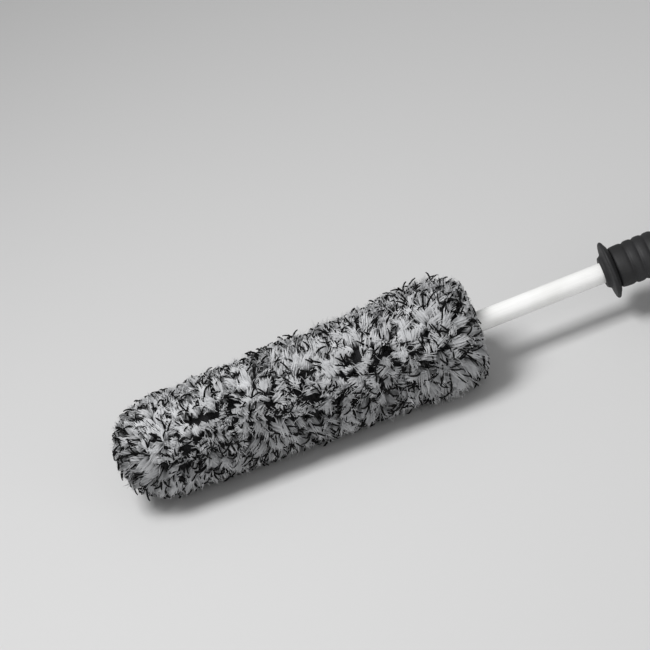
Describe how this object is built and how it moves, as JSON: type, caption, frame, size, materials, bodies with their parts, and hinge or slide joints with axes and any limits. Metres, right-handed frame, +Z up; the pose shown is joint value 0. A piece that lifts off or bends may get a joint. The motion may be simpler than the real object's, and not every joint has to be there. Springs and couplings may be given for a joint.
{
  "type": "wheel brush",
  "caption": "Long-reach wheel brush: plush grey and black sleeve on a foam-padded flexible core, white round shaft and moulded grip with a hanging tab.",
  "frame": {"origin": "centre of the bounding box, on the surface the brush lies on", "axes": "+X along the brush axis from the nose to the hanging tab, +Z up, the hanging hole runs along Z"},
  "size_m": [0.45, 0.073, 0.0695],
  "materials": {
    "grey_plush": "matte",
    "black_yarn": "matte",
    "knitted_backing": "matte",
    "black_webbing": "matte",
    "charcoal_foam": "matte",
    "white_polypropylene": "satin",
    "natural_polypropylene": "satin",
    "black_nylon": "satin",
    "black_elastomer": "matte",
    "steel_pin": "satin"
  },
  "bodies": {
    "handle": {"shaft": "white_polypropylene", "finger_guard": "black_elastomer", "handle_core": "black_nylon", "grip_sleeve": "black_elastomer", "end_cap": "black_nylon", "shaft_pin": "steel_pin", "end_cap_pin": "steel_pin"},
    "head": {"core_hub": "white_polypropylene", "core_spine": "natural_polypropylene", "core_wire": "steel_pin", "hub_pin": "steel_pin", "foam_upper": "charcoal_foam", "foam_lower": "charcoal_foam", "foam_tip": "charcoal_foam", "tip_button": "natural_polypropylene"},
    "cover": {"cover_backing": "knitted_backing", "cover_tip_panel": "knitted_backing", "cover_seam": "black_yarn", "tip_seam": "black_yarn", "hem_band": "black_webbing", "hem_elastic": "black_webbing", "pile_collar": "grey_plush", "pile_body": "grey_plush", "pile_nose": "grey_plush"}
  },
  "joints": [
    {"name": "neck_flex", "type": "hinge", "parent": "handle", "child": "head", "pos_m": [0.004, 0, 0.033], "axis": [0, 0, 1], "range_deg": [-20, 20], "stiffness_Nm_per_rad": 9},
    {"name": "cover_slide", "type": "slide", "parent": "head", "child": "cover", "axis": [-1, 0, 0], "range_m": [0, 0.25]}
  ]
}
